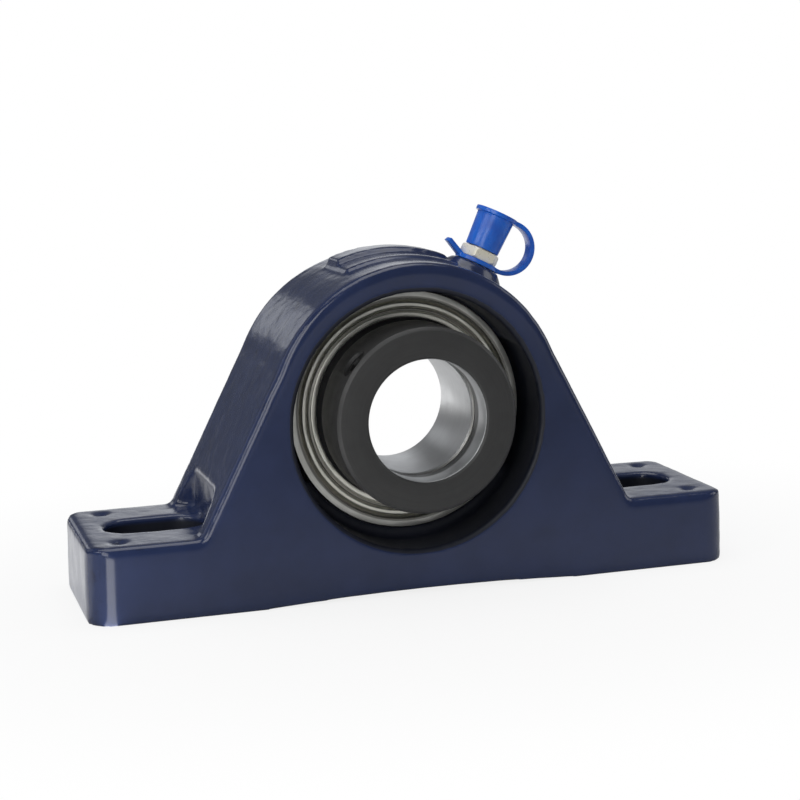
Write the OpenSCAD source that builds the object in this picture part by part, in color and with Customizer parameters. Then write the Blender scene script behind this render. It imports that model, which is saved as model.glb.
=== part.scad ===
// Pillow block: a self-aligning ball bearing insert with an eccentric locking collar, in a solid cast housing.
// X runs along the base, the collar side faces -Y and Z is up. The origin lies on the base plane, midway
// between the two bolt slots.

/* [Base] */
// Distance between the two bolt slots' centres
bolt_spacing = 105; // [100:0.5:112]
// Width of a bolt slot
slot_w = 12; // [9:0.1:13]
// Length of a bolt slot, end to end
slot_len = 20.8; // [16:0.1:23]
// Metal between a slot and the end of its foot
end_wall = 5.85; // [4:0.05:9]
// Depth of the housing, front face to back face
depth = 38; // [36:0.5:44]
// Thickness of the feet
foot_h = 15.4; // [12:0.2:18]
// Radius of the feet's upright corners
foot_corner_r = 5.5; // [3:0.1:8]
// Width of the front and back lands beside a washer seat
seat_land = 5.4; // [4:0.1:7]
// Radius of a washer seat's inner corners
seat_corner_r = 4; // [2:0.1:6]
// Distance that a washer seat reaches past its slot's inner end
seat_past = 0.3; // [0.1:0.1:1]
// Rise of the shallow arch under the base
sole_rise = 1; // [0.5:0.1:2]
// Half the width of that arch
sole_half = 33; // [25:0.5:38]
// Diameter of the four cast marks on the feet
mark_d = 3.8; // [2:0.1:5]
// Depth of those marks
mark_depth = 0.7; // [0.3:0.1:1.2]
// Distance of the marks from the front and back faces
mark_inset = 5.6; // [4:0.1:6.5]

/* [Arch] */
// Height of the shaft's centre above the base plane
shaft_h = 36.5; // [35.5:0.5:42]
// Metal between the housing's opening and the outside of the arch
arch_wall = 5.2; // [4:0.1:8]
// Distance from the centre plane to where a ramp meets its foot
ramp_toe = 46.3; // [44:0.1:48]
// Radius of the fillet between a ramp and its foot
toe_r = 2.2; // [1.5:0.1:5]
// Radius of the casting's outer edges
edge_r = 1.6; // [0.8:0.1:2.5]
// Mean radial room between the insert and the cast opening on each side of the seat
opening_gap = 0.5; // [0.5:0.05:1.5]
// Distance that the cast opening stands off the seat's centre, towards -X
core_side = 0.45; // [0:0.05:0.45]
// Distance that the cast opening stands below the seat's centre
core_low = 0.75; // [0:0.05:0.9]
// Height of the two notches that let the insert in
notch_h = 27; // [18:0.5:30]
// Distance that the notches reach past the middle of the seat
notch_past = 2; // [1:0.1:4]
// Width of the plain raised panel on the crown
panel_w = 25; // [14:0.5:28]
// Depth of that panel, front to back
panel_depth = 17; // [13:0.5:24]
// Height of that panel above the arch
panel_rise = 0.8; // [0.5:0.1:1.5]
// Depth of the plain bar on the rear half of the panel, front to back
bar_depth = 8; // [4:0.5:9]
// Height of that bar above the panel
bar_rise = 1.1; // [0.5:0.1:1.6]
// Width of the panel left free round the bar's ends and back
bar_inset = 0.5; // [0.3:0.1:2]

/* [Insert] */
// Diameter of the shaft
shaft_d = 25; // [20:0.1:26]
// Metal between the bore and the bottom of the inner raceway
inner_wall = 2.73; // [2.4:0.01:4]
// Metal between the bottom of the outer raceway and the ball-shaped outside
outer_wall = 2.732; // [2.4:0.001:4]
// Diameter of a ball
ball_d = 7.938; // [7:0.001:8.5]
// Number of balls
ball_count = 9; // [7:1:10]
// Radial gap between a ball and each raceway
race_gap = 0.05; // [0.03:0.01:0.1]
// Raceway radius as a share of the ball's diameter
race_share = 0.52; // [0.515:0.005:0.54]
// Depth of the inner raceway below its shoulder
inner_groove = 1.72; // [1.3:0.01:2]
// Depth of the outer raceway below its shoulder
outer_groove = 1.67; // [1.3:0.01:2]
// Width of the outer ring
outer_w = 15; // [14:0.1:17]
// Distance that the inner ring's nose reaches forward of the middle of the balls
nose_reach = 14; // [13:0.1:16]
// Length of the eccentric nose
nose_len = 4.5; // [3.5:0.1:5.5]
// Smallest step from the inner ring's shoulder down to the nose
nose_step = 0.95; // [0.6:0.01:1.2]
// Eccentricity of the nose
nose_ecc = 0.8; // [0.5:0.01:1]
// Radial gap between the insert's ball-shaped outside and the housing's seat
align_gap = 0.06; // [0.03:0.01:0.15]
// Chamfer at the ends of the bore
bore_chamfer = 0.5; // [0.2:0.05:0.8]

/* [Seals and cage] */
// Width of the outer ring's flat face outside a seal
face_land = 1.5; // [1:0.05:2]
// Depth of the pocket that holds a seal
seal_depth = 2.2; // [1.8:0.1:2.3]
// Thickness of a seal's steel shield
shield_t = 0.6; // [0.4:0.05:0.8]
// Width of a seal's bare rubber lip
lip_w = 2.3; // [1.9:0.05:3.4]
// Thickness of the rubber lip
lip_t = 1; // [0.6:0.05:1.4]
// Gap between the rubber lip and the inner ring
lip_gap = 0.05; // [0.03:0.01:0.2]
// Radial thickness of the cage
cage_t = 3.3; // [2.6:0.1:3.6]
// Distance that the cage reaches forward of the balls' centres
cage_front = 3; // [2.4:0.1:3.4]
// Room between the back of the cage and the rear seal
cage_room = 0.4; // [0.25:0.05:0.6]
// Gap between a ball and its pocket
pocket_gap = 0.12; // [0.08:0.01:0.2]

/* [Locking collar] */
// Metal between the shaft and the outside of the collar
collar_wall = 6.55; // [6:0.05:8]
// Distance that the collar reaches in front of the nose
collar_reach = 9.5; // [8:0.1:12]
// Room behind the collar, in front of the inner ring's shoulder
collar_back_gap = 0.5; // [0.3:0.1:1]
// Gap between the collar's shoulder and the end of the nose
collar_end_gap = 2; // [0.5:0.1:2.3]
// Turn from free to locked, each way, in degrees
lock_turn = 20; // [10:1:30]
// Gap left between the two eccentrics when locked
lock_gap = 0.05; // [0.02:0.01:0.1]
// Chamfer on the collar's outer edges
collar_chamfer = 0.7; // [0.3:0.1:1]
// Angle of the set screw round the collar, from +X towards +Z
screw_at = 140; // [0:5:355]
// Diameter of the set screw
screw_d = 6; // [5:0.5:6.5]
// Length of the set screw
screw_len = 5.4; // [4:0.1:6]
// Distance of the screw's tip from the shaft
screw_lift = 0.5; // [0.3:0.1:1]
// Width across flats of the screw's socket
socket_af = 3; // [2.5:0.1:3.2]
// Depth of that socket
socket_depth = 2.4; // [1.5:0.1:3]
// Diameter of the drift hole in the collar's side
drift_d = 5; // [3:0.1:6]
// Depth of the drift hole
drift_depth = 3.6; // [2:0.1:4.5]
// Angle from the set screw to the drift hole
drift_from_screw = 120; // [60:5:300]

/* [Grease nipple] */
// Angle of the nipple's boss from the top of the arch, towards +X
boss_at = 32.7; // [25:0.1:40]
// Lean of the nipple's own axis from upright
nipple_lean = 26.6; // [20:0.1:35]
// Height of the boss above the arch
boss_rise = 2.7; // [1.5:0.1:3.5]
// Diameter of the boss
boss_d = 10.6; // [9.5:0.1:14]
// How much the boss widens on each side, from its top to its root inside the arch
boss_draft = 4; // [1:0.1:4.5]
// Diameter of the nipple's shank
shank_d = 5.9; // [5:0.1:7]
// Length of the shank below the hexagon
shank_len = 6.2; // [5:0.1:7]
// Gap round the shank
shank_gap = 0.05; // [0.02:0.01:0.1]
// Width across flats of the hexagon
hex_af = 7.8; // [6.5:0.1:8]
// Height of the hexagon
hex_h = 2.2; // [2:0.1:4]
// Diameter of the nipple's head
head_d = 6.2; // [5.8:0.1:6.8]
// Height of the head and neck above the hexagon
head_h = 7.4; // [5.8:0.1:8]
// Diameter of the nipple's grease channel
channel_d = 2.3; // [2:0.1:2.6]
// Diameter of the valve ball
valve_d = 2; // [1.7:0.05:2.2]
// Travel of the valve ball
valve_travel = 0.8; // [0.4:0.1:1]
// Diameter of the valve spring's wire
wire_d = 0.3; // [0.2:0.05:0.4]

/* [Nipple cap] */
// Wall of the cap
cap_wall = 0.6; // [0.3:0.05:0.9]
// Gap between the cap and the nipple's head
cap_gap = 0.06; // [0.04:0.01:0.15]
// Taper of the cap's outside, added at the top
cap_flare = 0.42; // [0:0.02:0.6]
// Distance that the cap's rim stands out
cap_rim = 0.55; // [0.4:0.05:1.5]
// Thickness of the rim, the strap and the ring
cap_t = 0.95; // [0.6:0.05:1.2]
// Gap on each side of the ring, under the hexagon and over the boss
ring_gap = 0.12; // [0.08:0.02:0.2]
// Outer diameter of the ring
ring_d = 9.5; // [9:0.1:12]
// Width of the strap
strap_w = 3.6; // [2:0.1:5]
// Distance from the nipple's axis to the centre of the strap's loop
loop_at = 5; // [4.8:0.1:8]
// Length of the pull tab
tab_len = 4.5; // [2:0.1:6]
// Width of the pull tab
tab_w = 3; // [2:0.1:4]
// Upward bend of the pull tab, in degrees
tab_bend = 26; // [0:1:32]

/* [Hidden] */
$fn = 96;
over = 1; // how far a cutter runs past the face it opens
lap = 0.1; // how far two surfaces that only touch are run into each other

iron = [0.20, 0.23, 0.32];
steel = [0.68, 0.69, 0.70];
bright = [0.72, 0.72, 0.68];
black_steel = [0.20, 0.20, 0.20];
rubber = [0.09, 0.09, 0.10];
nylon = [0.86, 0.83, 0.74];
plated = [0.90, 0.86, 0.74];
cap_blue = [0.10, 0.34, 0.75];

// The insert, worked out from the shaft outwards
bore_r = shaft_d / 2;
ball_r = ball_d / 2;
race_r = race_share * ball_d;
inner_bottom = bore_r + inner_wall;
pitch_r = inner_bottom + race_gap + ball_r;
outer_bottom = pitch_r + ball_r + race_gap;
inner_shoulder = inner_bottom + inner_groove;
outer_shoulder = outer_bottom - outer_groove;
insert_r = outer_bottom + outer_wall;
half_outer = outer_w / 2;
face_r = sqrt(insert_r * insert_r - half_outer * half_outer);
seal_seat_r = face_r - face_land;
seal_fit = 0.02;
lip_in = inner_shoulder + lip_gap;
lip_out = lip_in + lip_w;
lip_lap = 0.9; // how far the rubber runs out behind the shield
crest = 0.15; // the depth of a shield's outer ridge below the ring's face
ridge_step = 0.3; // how much lower its inner ridge lies
cage_back = half_outer - seal_depth - cage_room;
nose_r = inner_shoulder - nose_step - nose_ecc;
nose_back = nose_reach - nose_len;
collar_r = bore_r + collar_wall;
collar_front = nose_reach + collar_reach;
collar_back = nose_back + collar_back_gap;
collar_shoulder = nose_reach + collar_end_gap;
recess_r = nose_r + 2 * nose_ecc * sin(lock_turn / 2) + lock_gap;
screw_y = (collar_front + collar_shoulder) / 2;
screw_tip = bore_r + screw_lift;
screw_gap = 0.05;

// The grease groove round the outer ring, and its holes beside the raceway
grease_r = 0.6;
race_half = sqrt(race_r * race_r - pow(outer_shoulder - (outer_bottom - race_r), 2));
grease_y = (race_half + half_outer - seal_depth) / 2;
grease_front = grease_y + grease_r;
grease_depth = 0.5;
grease_past = 0.4;

// The housing
half_depth = depth / 2;
half_len = bolt_spacing / 2 + slot_len / 2 + end_wall;
slot_in = bolt_spacing / 2 - slot_len / 2;
opening_r = insert_r + opening_gap;
arch_r = opening_r + arch_wall;
toe = [ramp_toe, foot_h];
centre = [0, shaft_h];
toe_to_centre = norm(centre - toe);
tangent_len = sqrt(toe_to_centre * toe_to_centre - arch_r * arch_r);
toe_angle = atan2(shaft_h - foot_h, -ramp_toe) - asin(arch_r / toe_to_centre);
ramp_core = 12; // how far a ramp's own prism reaches into the body
sole_r = (sole_half * sole_half + sole_rise * sole_rise) / (2 * sole_rise);

// The grease nipple, along its own axis from the underside of its hexagon
stack = cap_t + 2 * ring_gap;
hex_seat_r = arch_r + boss_rise + stack;
nipple_at = [hex_seat_r * sin(boss_at), 0, shaft_h + hex_seat_r * cos(boss_at)];
shank_r = shank_d / 2;
head_r = head_d / 2;
channel_r = channel_d / 2;
valve_r = valve_d / 2;
mouth_r = 0.65;
nipple_top = hex_h + head_h;
valve_top = nipple_top - 1;
valve_mid = valve_top - valve_r;
spring_foot = hex_h - 1.2;
spring_r = channel_r - wire_d / 2 - 0.12;
wire_r = wire_d / 2;
spring_turns = 7;
spring_sides = 6;
spring_steps = 18;
cap_in = head_r + cap_gap;
cap_out = cap_in + cap_wall;
cap_foot = hex_h + 0.25;
rim_foot = nipple_top + 0.45;
rim_r = cap_out + cap_flare + cap_rim;
ring_foot = -ring_gap - cap_t;
ring_r = ring_d / 2;
rim_mid = rim_foot + cap_t / 2;
ring_mid = ring_foot + cap_t / 2;
loop_r = (rim_mid - ring_mid) / 2;

// Puts what is drawn round the Z axis on the shaft's axis: +Z becomes the front, and +Y becomes up
module on_shaft() {
    translate([0, 0, shaft_h]) rotate([90, 0, 0]) children();
}

// Puts what is drawn round the Z axis on the grease nipple's axis
module on_nipple() {
    translate(nipple_at) rotate([0, nipple_lean, 0]) children();
}

// A ring turned round the Z axis, from the profile given as radius and height
module turned(points) {
    rotate_extrude() polygon(points);
}

// A rectangle from the origin, with its two upper corners rounded
module bar_section(w, h, r) {
    union() {
        translate([-w / 2, 0]) square([w, h - r]);
        translate([-w / 2 + r, 0]) square([w - 2 * r, h]);
        for (side = [-1, 1]) translate([side * (w / 2 - r), h - r]) circle(r);
    }
}

module foot_plan() {
    r = foot_corner_r;
    square([2 * half_len - 2 * r, depth], center = true);
    square([2 * half_len, depth - 2 * r], center = true);
    for (x = [-1, 1], y = [-1, 1]) translate([x * (half_len - r), y * (half_depth - r)]) circle(r);
}

module feet() {
    intersection() {
        linear_extrude(foot_h) foot_plan();
        rotate([90, 0, 90]) linear_extrude(2 * half_len + 2 * over, center = true) bar_section(depth, foot_h, edge_r);
        rotate([90, 0, 0]) linear_extrude(depth + 2 * over, center = true) bar_section(2 * half_len, foot_h, edge_r);
    }
}

// The round head of the arch, with a rounded rim
module arch_disc() {
    on_shaft() rotate_extrude() intersection() {
        rotate(-90) bar_section(depth, arch_r, edge_r);
        translate([0, -half_depth]) square([arch_r, depth]);
    }
}

// One ramp: a bar along the tangent from the toe to the arch, with rounded outer edges
module ramp() {
    translate([ramp_toe, 0, foot_h]) rotate([0, 90 - toe_angle, 0]) rotate([0, 0, -90])
        translate([0, 0, -foot_h / 2]) linear_extrude(tangent_len + foot_h / 2)
            translate([0, -ramp_core - lap]) bar_section(depth, ramp_core, edge_r + lap);
}

// The fillet in the corner between a ramp and its foot, with the same rounded outer edges
module toe_fillet() {
    a = toe_angle - 90;
    out = [cos(a), sin(a)];
    off = toe_r - lap;
    mid_z = foot_h + off;
    mid = [(arch_r - lap + off - (mid_z - shaft_h) * sin(a)) / cos(a), mid_z];
    under = edge_r + 1;
    difference() {
        rotate([90, 0, 0]) linear_extrude(depth, center = true) polygon([
            mid, [mid[0], foot_h - under], [ramp_toe - under, foot_h - under], mid - (off + under) * out]);
        translate([mid[0], 0, mid[1]]) rotate([90, 0, 0]) rotate_extrude() difference() {
            translate([0, -half_depth - over]) square([toe_r + edge_r, depth + 2 * over]);
            translate([toe_r, edge_r - half_depth]) square([edge_r + over, depth - 2 * edge_r]);
            for (side = [-1, 1]) translate([toe_r + edge_r, side * (half_depth - edge_r)]) circle(edge_r);
        }
    }
}

// The flat-sided body under the arch, between the ramps
module pedestal() {
    tangent = toe + tangent_len * [cos(toe_angle), sin(toe_angle)];
    inward = (centre - tangent) / arch_r;
    inset = ramp_core / 2;
    low = toe + inset * inward;
    high = tangent + inset * inward;
    rotate([90, 0, 0]) linear_extrude(depth, center = true)
        polygon([[-low[0], 0], [low[0], 0], low, high, centre, [-high[0], high[1]], [-low[0], low[1]]]);
}

// One raised step on the crown, with its middle at y = at
module crown_step(w, d, at, rise) {
    intersection() {
        on_shaft() cylinder(r = arch_r + rise, h = depth, center = true);
        translate([-w / 2, at - d / 2, shaft_h]) cube([w, d, 2 * arch_r]);
    }
}

module crown_panel() {
    crown_step(panel_w, panel_depth, 0, panel_rise);
    crown_step(panel_w - 2 * bar_inset, bar_depth, (panel_depth - bar_depth) / 2 - bar_inset, panel_rise + bar_rise);
}

module boss() {
    on_nipple() translate([0, 0, -stack - boss_rise - arch_wall / 2])
        cylinder(r1 = boss_d / 2 + boss_draft, r2 = boss_d / 2, h = boss_rise + arch_wall / 2);
}

// The space that a bolt's washer needs, cut down into the toe of a ramp
module washer_seat() {
    r = seat_corner_r;
    half = half_depth - seat_land;
    from = slot_in - seat_past;
    to = ramp_toe + over;
    translate([0, 0, foot_h]) linear_extrude(shaft_h) {
        translate([from, r - half]) square([to - from, 2 * half - 2 * r]);
        translate([from + r, -half]) square([to - from - r, 2 * half]);
        for (side = [-1, 1]) translate([from + r, side * (half - r)]) circle(r);
    }
}

module bolt_slot() {
    reach = slot_len / 2 - slot_w / 2;
    translate([bolt_spacing / 2, 0, -over]) linear_extrude(shaft_h) {
        square([2 * reach, slot_w], center = true);
        for (side = [-1, 1]) translate([side * reach, 0]) circle(d = slot_w);
    }
}

module foot_marks() {
    for (side = [-1, 1])
        translate([half_len - end_wall - 1, side * (half_depth - mark_inset), foot_h - mark_depth])
            cylinder(d1 = mark_d / 2, d2 = mark_d, h = mark_depth);
}

module foot_cuts() {
    washer_seat();
    bolt_slot();
    foot_marks();
}

// The opening on both sides of the seat, and the ball-shaped seat itself
module opening() {
    on_shaft() {
        translate([-core_side, -core_low, 0]) for (side = [0, 1]) rotate([side * 180, 0, 0])
            translate([0, 0, half_outer]) cylinder(r = opening_r, h = half_depth);
        intersection() {
            sphere(r = insert_r + align_gap);
            cube([2 * arch_r, 2 * arch_r, outer_w + 2 * over], center = true);
        }
        intersection() {
            translate([0, 0, -notch_past]) cylinder(r = opening_r, h = half_depth);
            translate([-arch_r, -notch_h / 2, -half_depth]) cube([2 * arch_r, notch_h, depth]);
        }
    }
}

module nipple_hole() {
    tapped = shank_len + 0.6;
    on_nipple() {
        translate([0, 0, -tapped]) cylinder(r = shank_r + shank_gap, h = tapped);
        translate([0, 0, -tapped - arch_wall]) cylinder(r = grease_r * 2.5, h = arch_wall + over);
    }
}

module housing() {
    color(iron) difference() {
        union() {
            feet();
            arch_disc();
            ramp();
            mirror([1, 0, 0]) ramp();
            toe_fillet();
            mirror([1, 0, 0]) toe_fillet();
            pedestal();
            crown_panel();
            boss();
        }
        foot_cuts();
        mirror([1, 0, 0]) foot_cuts();
        opening();
        nipple_hole();
        translate([0, 0, sole_rise - sole_r]) rotate([90, 0, 0]) cylinder(r = sole_r, h = depth + 2 * over, center = true, $fn = 720);
    }
}

module outer_ring() {
    color(steel) on_shaft() difference() {
        intersection() {
            sphere(r = insert_r);
            cube([3 * insert_r, 3 * insert_r, outer_w], center = true);
        }
        cylinder(r = outer_shoulder, h = outer_w + 2 * over, center = true);
        rotate_extrude() translate([outer_bottom - race_r, 0]) circle(race_r);
        for (side = [0, 1]) rotate([side * 180, 0, 0]) translate([0, 0, half_outer - seal_depth])
            cylinder(r = seal_seat_r, h = seal_depth + over);
        difference() {
            translate([0, 0, -grease_past]) cylinder(r = insert_r + over, h = grease_front + grease_past);
            translate([0, 0, -grease_past - over]) cylinder(r = insert_r - grease_depth - over / 2, h = outer_w);
        }
        for (side = [0, 1]) rotate([0, 0, 90 + 180 * side]) translate([0, 0, grease_y]) rotate([0, 90, 0])
            cylinder(r = grease_r, h = insert_r + over);
    }
}

module inner_ring() {
    c = bore_chamfer;
    color(steel) on_shaft() difference() {
        union() {
            translate([0, 0, -half_outer]) cylinder(r = inner_shoulder, h = half_outer + nose_back);
            translate([0, nose_ecc, nose_back - over]) cylinder(r = nose_r, h = nose_len + over);
        }
        translate([0, 0, -half_outer - over]) cylinder(r = bore_r, h = half_outer + nose_reach + 2 * over);
        rotate_extrude() translate([inner_bottom + race_r, 0]) circle(race_r);
        translate([0, 0, -half_outer]) cylinder(r1 = bore_r + c, r2 = bore_r, h = c);
        translate([0, 0, nose_reach - c]) cylinder(r1 = bore_r, r2 = bore_r + c, h = c);
    }
}

module ball(k) {
    a = 90 + 360 * (k - 1) / ball_count;
    color(bright) on_shaft() translate([pitch_r * cos(a), pitch_r * sin(a), 0]) sphere(r = ball_r);
}

// A moulded crown cage, open towards the front so that the balls snap in
module cage() {
    in_r = pitch_r - cage_t / 2;
    color(nylon) on_shaft() difference() {
        translate([0, 0, -cage_back]) cylinder(r = in_r + cage_t, h = cage_front + cage_back);
        translate([0, 0, -cage_back - over]) cylinder(r = in_r, h = cage_front + cage_back + 2 * over);
        for (k = [1 : ball_count]) rotate([0, 0, 90 + 360 * (k - 1) / ball_count]) translate([pitch_r, 0, 0])
            sphere(r = ball_r + pocket_gap);
    }
}

// A steel shield pressed in two steps: the ridges that show beside the collar
module shield() {
    out = seal_seat_r - seal_fit;
    room = out - lip_out;
    floor_z = half_outer - seal_depth + seal_fit;
    top = half_outer - crest;
    low = top - ridge_step;
    fold = half_outer - 0.9; // the folded edge that holds the shield in its pocket
    turned([
        [out, floor_z], [out, fold], [out - 0.10 * room, fold],
        [out - 0.24 * room, top], [out - 0.45 * room, top], [out - 0.54 * room, low - 0.3],
        [out - 0.66 * room, low - 0.3], [out - 0.75 * room, low], [out - room, low],
        [out - room, low - shield_t], [out - room + lip_lap, low - shield_t], [out - room + lip_lap, floor_z]]);
}

// The rubber lip, bonded behind the shield's inner edge
module lip() {
    floor_z = half_outer - seal_depth + seal_fit;
    under = half_outer - crest - ridge_step - shield_t - seal_fit;
    turned([
        [lip_out + lip_lap - seal_fit, floor_z], [lip_out + lip_lap - seal_fit, under], [lip_out - seal_fit, under],
        [lip_out - seal_fit, floor_z + lip_t + 0.3], [lip_out - 0.3 * lip_w, floor_z + lip_t],
        [lip_in + 0.5, floor_z + 0.6 * lip_t], [lip_in, floor_z + lip_t + 0.4], [lip_in, floor_z]]);
}

module front_shield() {
    color(bright) on_shaft() shield();
}

module rear_shield() {
    color(bright) on_shaft() rotate([180, 0, 0]) shield();
}

module front_lip() {
    color(rubber) on_shaft() lip();
}

module rear_lip() {
    color(rubber) on_shaft() rotate([180, 0, 0]) lip();
}

module locking_collar() {
    c = collar_chamfer;
    b = bore_chamfer;
    long = collar_front - collar_back;
    color(black_steel) on_shaft() difference() {
        translate([0, 0, collar_back])
            turned([[0, 0], [collar_r - c, 0], [collar_r, c], [collar_r, long - c], [collar_r - c, long], [0, long]]);
        cylinder(r = bore_r, h = collar_front + over);
        translate([0, nose_ecc, 0]) cylinder(r = recess_r, h = collar_shoulder);
        translate([0, 0, collar_front - b]) cylinder(r1 = bore_r, r2 = bore_r + b, h = b);
        rotate([0, 0, screw_at]) translate([0, 0, screw_y]) rotate([0, 90, 0])
            cylinder(d = screw_d + 2 * screw_gap, h = collar_r + over);
        rotate([0, 0, screw_at + drift_from_screw]) translate([collar_r - drift_depth, 0, screw_y])
            rotate([0, 90, 0]) cylinder(d = drift_d, h = drift_depth + over);
    }
}

module set_screw() {
    socket_r = socket_af / 2 / cos(30);
    chamfer = 0.6;
    r = screw_d / 2;
    color(black_steel) on_shaft() rotate([0, 0, screw_at]) translate([screw_tip, 0, screw_y]) rotate([0, 90, 0])
        difference() {
            turned([[0, 0], [r - 2 * chamfer, 0], [r, chamfer], [r, screw_len - chamfer / 2],
                    [r - chamfer / 2, screw_len], [0, screw_len]]);
            translate([0, 0, screw_len - socket_depth]) cylinder(r = socket_r, h = socket_depth + over, $fn = 6);
            translate([0, 0, -over]) cylinder(r1 = 1.4 + over, r2 = 0.4, h = 1 + over);
        }
}

module nipple_body() {
    neck = 0.72 * head_r;
    hex_r = hex_af / 2 / cos(30);
    color(plated) on_nipple() difference() {
        union() {
            translate([0, 0, -shank_len]) cylinder(r = shank_r, h = shank_len + over);
            intersection() {
                cylinder(r = hex_r, h = hex_h, $fn = 6);
                turned([[0, 0], [hex_r - 0.4, 0], [hex_r, 0.4], [hex_r, hex_h - 0.4], [hex_r - 0.4, hex_h], [0, hex_h]]);
            }
            translate([0, 0, hex_h - over]) turned([
                [0, 0], [neck, 0], [neck, over + 0.9], [head_r, over + 1.7], [head_r, over + 2.9],
                [0.62 * head_r, over + head_h - 0.8], [0.5 * head_r, over + head_h], [0, over + head_h]]);
        }
        translate([0, 0, -shank_len - over]) cylinder(r = channel_r, h = shank_len + over + valve_mid);
        translate([0, 0, valve_mid - over / 2]) cylinder(r1 = channel_r, r2 = channel_r, h = over);
        translate([0, 0, valve_mid + over / 2 - 0.01]) cylinder(r1 = channel_r, r2 = mouth_r, h = 0.6);
        cylinder(r = mouth_r, h = nipple_top + over);
    }
}

module valve_ball() {
    color(bright) on_nipple() translate([0, 0, valve_mid]) sphere(r = valve_r);
}

// The coil spring under the valve ball: a round wire swept along a helix
function coil_point(i, j) =
    let (t = i / spring_steps, a = 360 * t, b = 360 * j / spring_sides,
         high = valve_mid - valve_r - wire_d - spring_foot,
         r = spring_r + wire_r * cos(b),
         z = spring_foot + wire_r + high * t / spring_turns + wire_r * sin(b))
    [r * cos(a), r * sin(a), z];

module valve_spring() {
    last = spring_turns * spring_steps;
    n = spring_sides;
    points = [for (i = [0 : last], j = [0 : n - 1]) coil_point(i, j)];
    sides = [for (i = [0 : last - 1], j = [0 : n - 1])
        [i * n + j, i * n + (j + 1) % n, (i + 1) * n + (j + 1) % n, (i + 1) * n + j]];
    start = [[for (j = [n - 1 : -1 : 0]) j]];
    finish = [[for (j = [0 : n - 1]) last * n + j]];
    color(steel) on_nipple() polyhedron(points, concat(sides, start, finish));
}

// The bent strap from the cap's rim to the ring: half a ring between two straight ends
module strap_loop() {
    from = cap_out + 0.3;
    rotate([90, 0, 0]) linear_extrude(strap_w, center = true) {
        translate([loop_at, ring_mid + loop_r]) difference() {
            circle(loop_r + cap_t / 2);
            circle(loop_r - cap_t / 2);
            translate([-4 * loop_r, -2 * loop_r]) square(4 * loop_r);
        }
        for (z = [rim_foot, ring_foot]) translate([from, z]) square([loop_at - from, cap_t]);
    }
}

// Cap, strap, ring and pull tab: one moulding
module nipple_cap() {
    hole_r = shank_r + ring_gap;
    color(cap_blue) on_nipple() {
        difference() {
            union() {
                translate([0, 0, cap_foot]) cylinder(r1 = cap_out, r2 = cap_out + cap_flare, h = rim_foot - cap_foot + cap_t / 2);
                translate([0, 0, rim_foot]) cylinder(r = rim_r, h = cap_t);
            }
            translate([0, 0, cap_foot - over]) cylinder(r = cap_in, h = nipple_top + cap_gap - cap_foot + over);
        }
        strap_loop();
        difference() {
            translate([0, 0, ring_foot]) cylinder(r = ring_r, h = cap_t);
            translate([0, 0, ring_foot - over]) cylinder(r = hole_r, h = cap_t + 2 * over);
        }
        translate([-ring_r + 0.8, 0, ring_foot + cap_t / 2]) rotate([0, tab_bend, 0])
            translate([-tab_len / 2, 0, 0]) cube([tab_len, tab_w, cap_t], center = true);
    }
}

housing();
outer_ring();
inner_ring();
for (k = [1 : ball_count]) ball(k);
cage();
front_shield();
front_lip();
rear_shield();
rear_lip();
locking_collar();
set_screw();
nipple_body();
valve_ball();
valve_spring();
nipple_cap();
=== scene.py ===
"""Pillow block bearing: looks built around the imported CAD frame."""
import math

import bmesh
import bpy
import numpy as np
from mathutils import Matrix, Vector, noise


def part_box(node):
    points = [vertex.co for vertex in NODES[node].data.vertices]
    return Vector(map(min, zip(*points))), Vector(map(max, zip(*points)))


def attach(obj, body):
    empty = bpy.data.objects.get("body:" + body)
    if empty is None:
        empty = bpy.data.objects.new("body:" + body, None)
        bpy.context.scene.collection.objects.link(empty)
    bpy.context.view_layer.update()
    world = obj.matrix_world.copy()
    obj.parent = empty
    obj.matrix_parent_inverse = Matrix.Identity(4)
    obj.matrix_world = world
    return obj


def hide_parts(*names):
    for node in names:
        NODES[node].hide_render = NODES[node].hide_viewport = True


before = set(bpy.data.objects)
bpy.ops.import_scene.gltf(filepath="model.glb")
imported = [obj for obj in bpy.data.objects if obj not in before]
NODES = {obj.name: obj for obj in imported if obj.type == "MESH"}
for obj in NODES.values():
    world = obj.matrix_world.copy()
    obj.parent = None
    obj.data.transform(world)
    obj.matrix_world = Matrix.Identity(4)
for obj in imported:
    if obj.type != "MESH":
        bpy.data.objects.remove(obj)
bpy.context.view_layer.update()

MM = 0.001
SHAFT_Z = 36.5          # height of the shaft's axis, mm

PAINT_DEEP = (0.0130, 0.0215, 0.0620, 1)
PAINT_LIGHT = (0.0185, 0.0300, 0.0860, 1)
PAINT_SHEEN = (0.050, 0.062, 0.120, 1)
PAINT_SHADE = (0.007, 0.009, 0.024, 1)
PAINT_INSIDE = (0.006, 0.008, 0.017, 1)
GROUND_BORE = (0.47, 0.48, 0.485, 1)
# painted shade for the grooves and the gaps between parts
GROOVE_SHADE = (0.17, 0.165, 0.15, 1)
SLOT_X = 0.0525         # each bolt slot's middle, m from the part's middle

VOXEL, SKIN = 0.60, 0.085           # the casting's mesh step and the depth of its waves, mm
SEAT_R, SEAT_HALF = 26.08, 7.6      # the machined seat's least radius and half its width, mm

# ---------------------------------------------------------------- camera
# fitted to the photograph: a view camera, held nearly level, with its picture shifted down onto the part
AZ, EL, ROLL = math.radians(-17.616), math.radians(2.454), math.radians(-1.350)
DIST, FOCAL, TARGET = 408.341, 1903.533, Vector((8.542, 0.0, 87.422))
SHIFT_X, SHIFT_Y = -0.03484, -0.29455


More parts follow.
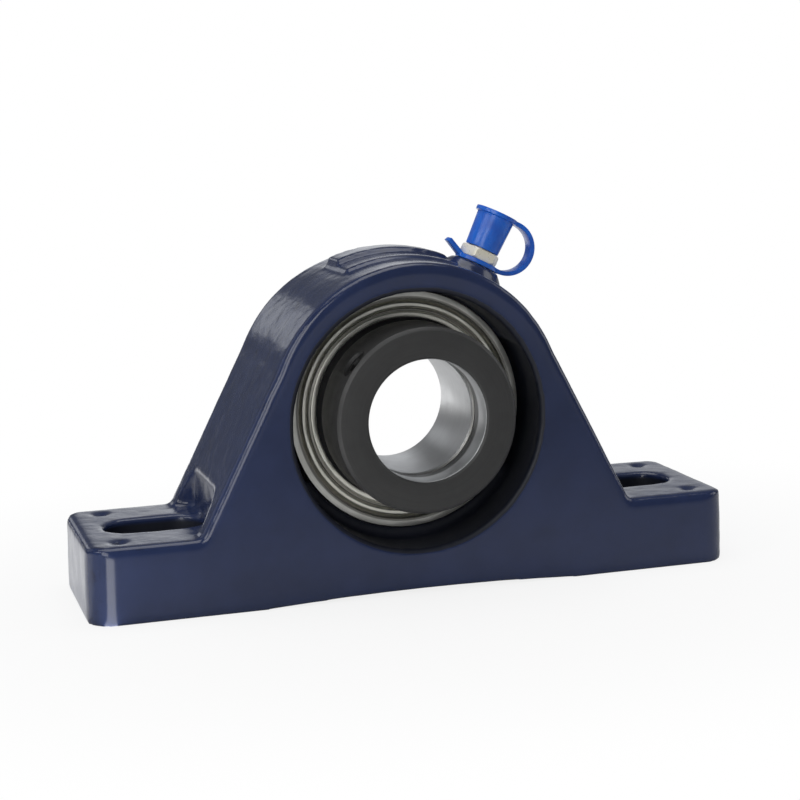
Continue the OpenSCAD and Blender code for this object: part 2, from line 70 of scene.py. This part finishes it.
def make_camera():
    back = Vector((math.sin(AZ) * math.cos(EL), -math.cos(AZ) * math.cos(EL), math.sin(EL)))
    right = Vector((math.cos(AZ), math.sin(AZ), 0.0))
    up = back.cross(right)
    r2 = math.cos(ROLL) * right + math.sin(ROLL) * up
    u2 = -math.sin(ROLL) * right + math.cos(ROLL) * up
    at = (TARGET + DIST * back) * MM
    data = bpy.data.cameras.new("camera")
    data.sensor_width = 36.0
    data.sensor_fit = "HORIZONTAL"
    data.lens = FOCAL / 800 * 36.0
    data.shift_x, data.shift_y = SHIFT_X, SHIFT_Y
    data.clip_start = 0.01
    data.clip_end = 20
    cam = bpy.data.objects.new("camera", data)
    bpy.context.scene.collection.objects.link(cam)
    cam.matrix_world = Matrix((
        (r2.x, u2.x, back.x, at.x), (r2.y, u2.y, back.y, at.y), (r2.z, u2.z, back.z, at.z), (0, 0, 0, 1)))
    bpy.context.scene.camera = cam


# ---------------------------------------------------------------- node helpers
class Graph:
    """Short forms for building a node tree."""

    def __init__(self, tree):
        self.tree = tree
        self.tree.nodes.clear()

    def node(self, kind, ins=None, **props):
        n = self.tree.nodes.new(kind)
        for k, v in props.items():
            setattr(n, k, v)
        for k, v in (ins or {}).items():
            self.put(n.inputs[k], v)
        return n

    def put(self, socket, value):
        if isinstance(value, bpy.types.NodeSocket):
            self.tree.links.new(value, socket)
        elif isinstance(value, bpy.types.Node):
            self.tree.links.new(value.outputs[0], socket)
        else:
            socket.default_value = value

    def math(self, op, a, b=0.0, clamp=False):
        n = self.node("ShaderNodeMath", {0: a, 1: b}, operation=op)
        n.use_clamp = clamp
        return n.outputs[0]

    def spread(self, value, lo, hi, to_lo, to_hi):
        """A smooth change from to_lo at lo to to_hi at hi, level beyond both."""
        n = self.node("ShaderNodeMapRange",
                      {"Value": value, "From Min": lo, "From Max": hi, "To Min": to_lo, "To Max": to_hi},
                      interpolation_type="SMOOTHSTEP")
        return n.outputs[0]

    def band(self, value, rise, fall):
        """1 between two soft edges, each given as (start, end), and 0 outside them."""
        return self.math("MULTIPLY", self.spread(value, *rise, 0, 1), self.spread(value, *fall, 1, 0))

    def product(self, first, *others):
        for other in others:
            first = self.math("MULTIPLY", first, other)
        return first

    def noise(self, at, scale, detail=2.0, rough=0.5):
        n = self.node("ShaderNodeTexNoise", {"Vector": at, "Scale": scale, "Detail": detail, "Roughness": rough})
        return n.outputs["Fac"]

    def mix(self, fac, a, b):
        n = self.node("ShaderNodeMix", {0: fac}, data_type="RGBA")
        self.put(n.inputs[6], a)
        self.put(n.inputs[7], b)
        return n.outputs[2]

    def bump(self, height, strength, distance_mm, under=None):
        n = self.node("ShaderNodeBump", {"Height": height, "Strength": strength, "Distance": distance_mm * MM})
        if under is not None:
            self.put(n.inputs["Normal"], under)
        return n.outputs[0]


def rgba(c):
    return (*c, 1.0)


def new_material(name):
    m = bpy.data.materials.new(name)
    m.use_nodes = True
    g = Graph(m.node_tree)
    out = g.node("ShaderNodeOutputMaterial")
    bsdf = g.node("ShaderNodeBsdfPrincipled")
    g.put(out.inputs["Surface"], bsdf.outputs[0])
    place = g.node("ShaderNodeTexCoord").outputs["Object"]
    return m, g, bsdf, place


def shaft_coords(g, place):
    """(radius, depth, angle) about the shaft's axis, each in mm or radians."""
    xyz = g.node("ShaderNodeSeparateXYZ", {0: place})
    x = g.math("MULTIPLY", xyz.outputs[0], 1000)
    y = g.math("MULTIPLY", xyz.outputs[1], 1000)
    z = g.math("SUBTRACT", g.math("MULTIPLY", xyz.outputs[2], 1000), SHAFT_Z)
    r = g.math("SQRT", g.math("ADD", g.math("MULTIPLY", x, x), g.math("MULTIPLY", z, z)))
    return r, y, g.math("ARCTAN2", z, x)


def lathe_lines(g, place, fine, coarse):
    """Two grades of turning marks that run round the shaft's axis."""
    r, y, turn = shaft_coords(g, place)
    slow = g.math("MULTIPLY", turn, 0.4)
    a = g.node("ShaderNodeCombineXYZ", {0: g.math("MULTIPLY", r, fine), 1: g.math("MULTIPLY", y, fine), 2: slow})
    b = g.node("ShaderNodeCombineXYZ", {0: g.math("MULTIPLY", r, coarse), 1: g.math("MULTIPLY", y, coarse), 2: slow})
    return g.noise(a, 1.0, 2.0, 0.6), g.noise(b, 1.0, 3.0, 0.5)


def turned_metal(name, colour, dark, metallic, rough, line_bump=0.004, bore=None, grooves=()):
    """Metal turned round the shaft's axis: fine lines, faint blotches and uneven gloss.

    bore is the radius of a bright ground bore in a dark piece, and grooves are radii where painted shade darkens the
    grooves and the gaps between parts, in mm.
    """
    m, g, bsdf, place = new_material(name)
    radius, depth, _ = shaft_coords(g, place)
    fine, coarse = lathe_lines(g, place, 9.0, 1.6)
    cloud = g.noise(place, 260.0, 4.0, 0.6)
    tone = g.math("ADD", g.math("MULTIPLY", g.spread(cloud, 0.25, 0.75, 0, 1), 0.25),
                  g.math("MULTIPLY", g.spread(coarse, 0.2, 0.8, 0, 1), 0.35), clamp=True)
    tint = g.mix(tone, rgba(colour), rgba(dark))
    metal = metallic
    uneven = g.math("ADD", g.math("MULTIPLY", fine, 0.5), g.math("MULTIPLY", cloud, 0.5))
    gloss = g.spread(uneven, 0.3, 0.7, *rough)
    if bore is not None:
        # the ground bore stays the oxide's black near the recess at its inner end: partly the oxide's own colour,
        # partly painted shade of the recess
        inside = g.math("MULTIPLY", g.spread(radius, bore, bore + 0.12, 1.0, 0.0),
                        g.spread(depth, -18.6, -17.8, 1.0, 0.0))
        tint = g.mix(inside, tint, GROUND_BORE)
        metal = g.math("MAXIMUM", inside, metallic)
        gloss = g.math("ADD", gloss, g.math("MULTIPLY", inside, -0.06))
    # painted shade: a dull grey-brown darkening at the grooves and at the gaps between parts
    for at in grooves:
        groove_shade = g.spread(g.math("ABSOLUTE", g.math("SUBTRACT", radius, at)), 0.10, 0.36, 0.8, 0.0)
        tint = g.mix(groove_shade, tint, GROOVE_SHADE)
    g.put(bsdf.inputs["Base Color"], tint)
    g.put(bsdf.inputs["Metallic"], metal)
    g.put(bsdf.inputs["Roughness"], gloss)
    g.put(bsdf.inputs["Normal"], g.bump(fine, 0.6, line_bump, g.bump(coarse, 0.35, line_bump * 2)))
    return m


def paint():
    """Dark navy enamel over a sand casting: smooth on the flat faces, mottled on the cast sides with painted sheen
    and painted shade.
    """
    m, g, bsdf, place = new_material("navy_enamel")
    facing = g.node("ShaderNodeSeparateXYZ", {0: g.node("ShaderNodeNewGeometry").outputs["Normal"]}).outputs
    flat = g.math("ABSOLUTE", facing[1])
    side = g.spread(flat, 0.70, 0.98, 1.0, 0.10)
    rough_side = g.math("MULTIPLY", side, g.spread(g.math("ABSOLUTE", facing[0]), 0.90, 0.985, 1.0, 0.25))
    sand = g.noise(place, 620.0, 4.0, 0.62)
    lump = g.noise(place, 300.0, 3.0, 0.55)
    pits = g.noise(place, 2000.0, 3.0, 0.7)
    flow = g.noise(place, 150.0, 3.0, 0.5)
    cloud = g.noise(place, 40.0, 3.0, 0.55)
    mottle = g.noise(place, 330.0, 4.0, 0.6)

    # dark and dull inside the opening, and down in the bolt slots, where no light reaches
    rim = g.spread(shaft_coords(g, place)[0], 27.9, 28.4, 1.0, 0.0)
    opening = g.math("MULTIPLY", rim, g.spread(flat, 0.97, 0.995, 1.0, 0.0))
    x, y, z = g.node("ShaderNodeSeparateXYZ", {0: place}).outputs
    off_x = g.math("ABSOLUTE", g.math("SUBTRACT", g.math("ABSOLUTE", x), SLOT_X))
    well = g.product(g.spread(off_x, 0.0107, 0.0111, 1, 0),
                     g.spread(g.math("ABSOLUTE", y), 0.0063, 0.0066, 1, 0),
                     g.spread(z, 0.0138, 0.0148, 1, 0))
    inner = g.math("MAXIMUM", opening, well)

    tone = g.math("ADD", g.math("MULTIPLY", cloud, 0.55), g.math("MULTIPLY", flow, 0.45))
    colour = g.mix(g.spread(tone, 0.25, 0.75, 0, 1), PAINT_DEEP, PAINT_LIGHT)
    # painted sheen in pale specks and painted shade in dark patches, on the cast sides only
    colour = g.mix(g.math("MULTIPLY", g.spread(pits, 0.58, 0.80, 0, 0.45), side), colour, PAINT_SHEEN)
    colour = g.mix(g.math("MULTIPLY", g.spread(mottle, 0.52, 0.72, 0, 0.5), side), colour, PAINT_SHADE)
    g.put(bsdf.inputs["Base Color"], g.mix(inner, colour, PAINT_INSIDE))
    gloss = g.math("ADD", g.spread(flow, 0.2, 0.8, 0.13, 0.20), g.math("MULTIPLY", side, 0.02))
    g.put(bsdf.inputs["Roughness"], g.math("ADD", gloss, g.math("MULTIPLY", inner, 0.35)))
    bsdf.inputs["IOR"].default_value = 1.48

    skin = g.bump(flow, 0.15, 0.12)
    for height, strength, distance_mm in ((lump, 0.5, 0.16), (sand, 0.3, 0.07), (pits, 0.2, 0.015)):
        skin = g.bump(g.math("MULTIPLY", height, rough_side), strength, distance_mm, skin)
    g.put(bsdf.inputs["Normal"], skin)
    return m


def plastic(name, colour, deep, rough=0.32, sss=0.0):
    m, g, bsdf, place = new_material(name)
    soft = g.noise(place, 330.0, 3.0, 0.5)
    grain = g.noise(place, 3800.0, 2.0, 0.6)
    g.put(bsdf.inputs["Base Color"], g.mix(g.spread(soft, 0.35, 0.65, 0, 1), rgba(colour), rgba(deep)))
    g.put(bsdf.inputs["Roughness"], g.spread(soft, 0.3, 0.7, rough - 0.05, rough + 0.07))
    g.put(bsdf.inputs["Normal"], g.bump(grain, 0.25, 0.02, g.bump(soft, 0.2, 0.10)))
    bsdf.inputs["IOR"].default_value = 1.49
    bsdf.inputs["Subsurface Weight"].default_value = sss
    bsdf.inputs["Subsurface Scale"].default_value = 0.0006
    return m


def rubber():
    m, g, bsdf, place = new_material("nitrile")
    coarse = lathe_lines(g, place, 7.0, 1.2)[1]
    dust = g.noise(place, 1400.0, 4.0, 0.65)
    tint = g.mix(g.spread(dust, 0.55, 0.8, 0, 0.6), (0.013, 0.0135, 0.0145, 1), (0.040, 0.040, 0.041, 1))
    g.put(bsdf.inputs["Base Color"], tint)
    g.put(bsdf.inputs["Roughness"], g.spread(dust, 0.3, 0.7, 0.42, 0.60))
    g.put(bsdf.inputs["Normal"], g.bump(dust, 0.25, 0.03, g.bump(coarse, 0.3, 0.02)))
    return m


def plated():
    """Zinc plating with a pale yellow passivate."""
    m, g, bsdf, place = new_material("yellow_zinc")
    cloud = g.noise(place, 420.0, 4.0, 0.6)
    grain = g.noise(place, 2600.0, 3.0, 0.6)
    tint = g.mix(g.spread(cloud, 0.35, 0.65, 0, 1), (0.90, 0.85, 0.70, 1), (0.86, 0.84, 0.77, 1))
    g.put(bsdf.inputs["Base Color"], tint)
    bsdf.inputs["Metallic"].default_value = 0.35
    g.put(bsdf.inputs["Roughness"], g.spread(grain, 0.3, 0.7, 0.26, 0.42))
    g.put(bsdf.inputs["Normal"], g.bump(grain, 0.3, 0.015))
    return m


# ---------------------------------------------------------------- mesh helpers
def copy_mesh(node, name):
    """A new object with the node's mesh, welded, in the shared frame."""
    src = NODES[node]
    mesh = src.data.copy()
    mesh.name = name
    if mesh.has_custom_normals and "custom_normal" in mesh.attributes:
        mesh.attributes.remove(mesh.attributes["custom_normal"])
    obj = bpy.data.objects.new(name, mesh)
    bpy.context.scene.collection.objects.link(obj)
    bm = bmesh.new()
    bm.from_mesh(mesh)
    bmesh.ops.remove_doubles(bm, verts=bm.verts, dist=2e-6)
    bmesh.ops.dissolve_degenerate(bm, edges=bm.edges, dist=1e-6)
    bm.to_mesh(mesh)
    bm.free()
    return obj


def apply_modifiers(obj):
    bpy.context.view_layer.update()
    deps = bpy.context.evaluated_depsgraph_get()
    mesh = bpy.data.meshes.new_from_object(obj.evaluated_get(deps))
    obj.modifiers.clear()
    obj.data = mesh


def coords(mesh):
    co = np.zeros(len(mesh.vertices) * 3, np.float32)
    mesh.vertices.foreach_get("co", co)
    return co.reshape(-1, 3).astype(float)


def set_coords(mesh, co):
    mesh.vertices.foreach_set("co", co.astype(np.float32).ravel())
    mesh.update()


def normals(mesh):
    n = np.zeros(len(mesh.vertices) * 3, np.float32)
    mesh.vertices.foreach_get("normal", n)
    return n.reshape(-1, 3).astype(float)


def shade(obj, angle=None):
    for p in obj.data.polygons:
        p.use_smooth = True
    if angle is not None:
        obj.data.set_sharp_from_angle(angle=math.radians(angle))


def dress(obj, material):
    obj.data.materials.clear()
    obj.data.materials.append(material)


# ---------------------------------------------------------------- the casting
def make_casting(material):
    """The housing with the softened edges and uneven skin of a painted sand casting."""
    lo, hi = (np.array(c) * 1000 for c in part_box("housing"))
    obj = copy_mesh("housing", "casting")
    remesh = obj.modifiers.new("remesh", "REMESH")
    remesh.mode = "VOXEL"
    remesh.voxel_size = VOXEL * MM
    remesh.use_smooth_shade = True
    smooth = obj.modifiers.new("smooth", "SMOOTH")
    smooth.factor = 0.5
    smooth.iterations = 5
    apply_modifiers(obj)
    mesh = obj.data
    co = coords(mesh) * 1000
    n = normals(mesh)
    centre = np.array([0, 0, SHAFT_Z])
    # waves on the cast sides, almost none on the flat faces, in the opening and at the base
    radius = np.hypot(co[:, 0], co[:, 2] - SHAFT_Z)
    cast = np.clip((0.97 - np.abs(n[:, 1])) / 0.2, 0.0, 1.0)
    cast[(radius < 27.2) & (np.abs(co[:, 1]) < 19.5)] *= 0.25
    cast[co[:, 2] < 1.6] *= 0.2
    wave = np.array([noise.noise(Vector(p) * 0.16) * 0.7 + noise.noise(Vector(p) * 0.42 + Vector((9, 3, 5))) * 0.45
                     for p in co])
    co += n * (SKIN * wave * cast)[:, None]
    # the machined seat stays clear of the ball-shaped outer ring
    d = co - centre
    r3 = np.linalg.norm(d, axis=1)
    seat = (np.abs(co[:, 1]) < SEAT_HALF) & (r3 < SEAT_R)
    co[seat] = centre + d[seat] * (SEAT_R / r3[seat])[:, None]
    set_coords(mesh, np.clip(co, lo, hi) * MM)
    shade(obj)
    dress(obj, material)
    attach(obj, "housing")
    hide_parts("housing")


def crisp(node, name, body, material, width=0.12, angle=32, segments=2):
    """A rigid piece on its CAD shape, with its sharp edges broken by a small bevel."""
    obj = copy_mesh(node, name)
    bm = bmesh.new()
    bm.from_mesh(obj.data)
    bmesh.ops.dissolve_limit(bm, angle_limit=math.radians(0.3), verts=bm.verts, edges=bm.edges)
    bm.to_mesh(obj.data)
    bm.free()
    b = obj.modifiers.new("edges", "BEVEL")
    b.width = width * MM
    b.segments = segments
    b.limit_method = "ANGLE"
    b.angle_limit = math.radians(angle)
    b.use_clamp_overlap = True
    apply_modifiers(obj)
    shade(obj, 30)
    dress(obj, material)
    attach(obj, body)
    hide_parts(node)


# ---------------------------------------------------------------- stage and light
# how pale the table is in front of the part and behind it, and what is added far in front
TABLE_FRONT, TABLE_BACK, TABLE_FAR = 0.36, 0.85, 0.60
# brightness of the dim room, of the backdrop and of the slanting panel
WORLD_LOW, WORLD_BACK, WORLD_PANEL = 0.14, 1.05, 0.95
# brightness of the cards on the table: along the left foot's end, by its corner, behind the part and far in front
END_CARD, CORNER_CARD, REAR_CARD, FAR_CARD = 0.38, 3.7, 1.0, 0.40
CORNER = (-0.063, -0.0135)      # middle of the left foot's front corner rounding, m
CENTRE = (0, 0, 0.035)
LAMPS = (                       # name, place, what it faces, size in metres, watts
    ("left_back", (-0.75, 0.55, 0.45), CENTRE, (0.7, 0.7), 0.5),
    ("top", (-0.05, 0.10, 0.95), CENTRE, (0.9, 0.7), 4.5),
    ("strip", (-0.49, -0.755, 0.42), (0, 0, 0.42), (0.36, 0.8), 3.1),
    ("right", (0.9, -0.1, 0.4), CENTRE, (0.5, 0.6), 1.6),
    ("edge", (-0.85, -0.34, 0.52), (-0.03, -0.019, 0.03), (0.5, 0.4), 2.1),
)


def make_stage():
    """A pale table that keeps the soft shadow near the part and runs out to white."""
    mesh = bpy.data.meshes.new("floor")
    s = 3.0
    mesh.from_pydata([(-s, -s, 0), (s, -s, 0), (s, s, 0), (-s, s, 0)], [], [(0, 1, 2, 3)])
    floor = bpy.data.objects.new("floor", mesh)
    bpy.context.scene.collection.objects.link(floor)
    m = bpy.data.materials.new("floor")
    m.use_nodes = True
    g = Graph(m.node_tree)
    out = g.node("ShaderNodeOutputMaterial")
    x, y, _ = g.node("ShaderNodeSeparateXYZ", {0: g.node("ShaderNodeTexCoord").outputs["Object"]}).outputs
    seen = g.node("ShaderNodeLightPath").outputs["Is Camera Ray"]

    # the table's own tone, with a darker cloth behind the left end, which the ramp mirrors
    pale = g.math("ADD", g.spread(y, -0.22, 0.0, TABLE_FRONT, TABLE_BACK), g.spread(y, -0.6, -0.15, TABLE_FAR, 0.0))
    cloth = g.spread(g.math("ADD", x, g.math("MULTIPLY", y, 0.12)), -0.10, 0.0, 0.75, 0.0)
    cloth = g.math("MULTIPLY", cloth, g.spread(y, 0.05, 0.15, 0, 1))
    pale = g.math("MULTIPLY", pale, g.math("SUBTRACT", 1.0, cloth))
    matt = g.node("ShaderNodeBsdfDiffuse", {"Color": g.node("ShaderNodeCombineColor", {0: pale, 1: pale, 2: pale})})

    # glowing cards on the table: emission hidden from the camera, which shows only as mirrored in the part
    dx, dy = g.math("SUBTRACT", CORNER[0], x), g.math("SUBTRACT", CORNER[1], y)
    turn = g.math("ARCTAN2", dx, dy)
    reach = g.math("SQRT", g.math("ADD", g.math("MULTIPLY", dx, dx), g.math("MULTIPLY", dy, dy)))
    end = g.math("MULTIPLY", g.spread(turn, 1.55, 1.68, 0, 1), g.spread(reach, 0.095, 0.125, 1, 0))
    corner = g.math("MULTIPLY", g.band(turn, (0.02, 0.09), (0.50, 0.60)), g.spread(reach, 0.10, 0.14, 1, 0))
    rear = g.math("MULTIPLY", g.band(y, (0.15, 0.20), (0.35, 0.6)), g.spread(g.math("ABSOLUTE", x), 0.12, 0.16, 1, 0))
    cards = g.spread(y, -1.3, -0.35, FAR_CARD, 0.0)
    for card, level in ((end, END_CARD), (corner, CORNER_CARD), (rear, REAR_CARD)):
        cards = g.math("ADD", cards, g.math("MULTIPLY", card, level))
    cards = g.math("MULTIPLY", cards, g.math("SUBTRACT", 1.0, seen))
    glow = g.node("ShaderNodeEmission", {"Color": (1, 1, 1, 1), "Strength": cards})
    table = g.node("ShaderNodeAddShader", {0: matt.outputs[0], 1: glow.outputs[0]})

    # to the camera the table fades to white a little way out
    white = g.node("ShaderNodeEmission", {"Color": (1, 1, 1, 1), "Strength": 1.0})
    across = g.math("MULTIPLY", x, 0.75)
    far = g.math("SQRT", g.math("ADD", g.math("MULTIPLY", across, across), g.math("MULTIPLY", y, y)))
    mixed = g.node("ShaderNodeMixShader", {0: g.math("MULTIPLY", seen, g.spread(far, 0.03, 0.13, 0.84, 1.0))})
    g.put(mixed.inputs[1], table.outputs[0])
    g.put(mixed.inputs[2], white.outputs[0])
    g.put(out.inputs["Surface"], mixed.outputs[0])
    mesh.materials.append(m)


def make_world():
    """A dim room with a bright backdrop behind and a little to the right, and a slanting panel behind to the left."""
    w = bpy.data.worlds.new("studio")
    bpy.context.scene.world = w
    w.use_nodes = True
    g = Graph(w.node_tree)
    out = g.node("ShaderNodeOutputWorld")
    x, y, z = g.node("ShaderNodeSeparateXYZ", {0: g.node("ShaderNodeTexCoord").outputs["Generated"]}).outputs
    wide = g.math("MULTIPLY", g.spread(x, 0.03, 0.17, 0, 1), g.spread(x, 0.22, 0.42, 1.0, 0.6))
    tall = g.math("MULTIPLY", g.spread(z, 0.12, 0.45, 1.0, 0.15), g.spread(z, 0.04, 0.16, 0.65, 1.0))
    back = g.product(wide, tall, g.spread(y, 0.4, 0.8, 0, 1))
    # the panel is mirrored by the arch's left shoulder
    along = g.math("ADD", g.math("MULTIPLY", x, -0.69), g.math("MULTIPLY", z, -0.72))
    off = g.math("ADD", g.math("MULTIPLY", x, 0.72), g.math("MULTIPLY", z, -0.69))
    panel = g.product(g.band(along, (-0.13, -0.07), (0.05, 0.10)), g.band(off, (-0.42, -0.36), (-0.235, -0.20)),
                      g.spread(y, 0.7, 0.85, 0, 1))
    level = g.math("ADD", g.math("MULTIPLY", back, WORLD_BACK), g.math("MULTIPLY", panel, WORLD_PANEL))
    level = g.math("ADD", level, WORLD_LOW)
    lit = g.node("ShaderNodeBackground", {"Color": (0.95, 0.97, 1.0, 1), "Strength": level})
    white = g.node("ShaderNodeBackground", {"Color": (1, 1, 1, 1), "Strength": 1.0})
    mixed = g.node("ShaderNodeMixShader", {0: g.node("ShaderNodeLightPath").outputs["Is Camera Ray"]})
    g.put(mixed.inputs[1], lit.outputs[0])
    g.put(mixed.inputs[2], white.outputs[0])
    g.put(out.inputs["Surface"], mixed.outputs[0])


def make_lights():
    for name, at, look, size, watts in LAMPS:
        data = bpy.data.lights.new(name, "AREA")
        data.shape = "RECTANGLE"
        data.size, data.size_y = size
        data.energy = watts
        lamp = bpy.data.objects.new(name, data)
        bpy.context.scene.collection.objects.link(lamp)
        way = Vector(look) - Vector(at)
        lamp.matrix_world = Matrix.Translation(at) @ way.to_track_quat("-Z", "Y").to_matrix().to_4x4()


# ---------------------------------------------------------------- build
make_camera()
make_world()
make_lights()
make_stage()

enamel = paint()
ring_steel = turned_metal("ring_steel", (0.76, 0.76, 0.72), (0.56, 0.56, 0.52), 1.0, (0.30, 0.44), grooves=(23.55,))
bore_steel = turned_metal("bore_steel", (0.70, 0.71, 0.715), (0.60, 0.60, 0.61), 1.0, (0.34, 0.44), line_bump=0.0015,
                          grooves=(12.95,))
shield_steel = turned_metal("shield_zinc", (0.97, 0.96, 0.87), (0.76, 0.75, 0.67), 1.0, (0.30, 0.42),
                            grooves=(23.25, 20.9))
ball_steel = turned_metal("ball_steel", (0.75, 0.75, 0.75), (0.7, 0.7, 0.7), 1.0, (0.06, 0.12), line_bump=0.0005)
black_oxide = turned_metal("black_oxide", (0.045, 0.045, 0.045), (0.030, 0.030, 0.030), 0.25, (0.42, 0.56),
                           line_bump=0.006, bore=12.53)
screw_black = turned_metal("screw_black", (0.02, 0.02, 0.02), (0.012, 0.012, 0.012), 0.4, (0.35, 0.5))
spring_steel = turned_metal("spring_steel", (0.5, 0.5, 0.5), (0.4, 0.4, 0.4), 1.0, (0.25, 0.4))
nitrile = rubber()
nylon = plastic("nylon", (0.72, 0.66, 0.52), (0.66, 0.60, 0.46), 0.42, 0.1)
blue = plastic("cap_blue", (0.010, 0.140, 0.66), (0.007, 0.100, 0.54), 0.30)
yellow_zinc = plated()

make_casting(enamel)
crisp("locking_collar", "collar_turned", "collar", black_oxide, 0.15)
crisp("inner_ring", "race_inner", "inner", bore_steel, 0.10)
crisp("outer_ring", "race_outer", "insert", ring_steel, 0.28, segments=4)
crisp("set_screw", "grub_screw", "set_screw", screw_black, 0.06)
crisp("nipple_body", "nipple_turned", "housing", yellow_zinc, 0.12)
crisp("nipple_cap", "cap_moulded", "nipple_cap", blue, 0.16, segments=3)
for end in ("front", "rear"):
    crisp(f"{end}_shield", f"{end}_shield_pressed", "insert", shield_steel, 0.28, 20, 4)
    crisp(f"{end}_lip", f"{end}_lip_rubber", "insert", nitrile, 0.10)
dress(NODES["cage"], nylon)
dress(NODES["valve_ball"], ball_steel)
dress(NODES["valve_spring"], spring_steel)
for name, obj in NODES.items():
    if name.startswith("ball_"):
        dress(obj, ball_steel)

bpy.context.scene.view_settings.view_transform = "Standard"
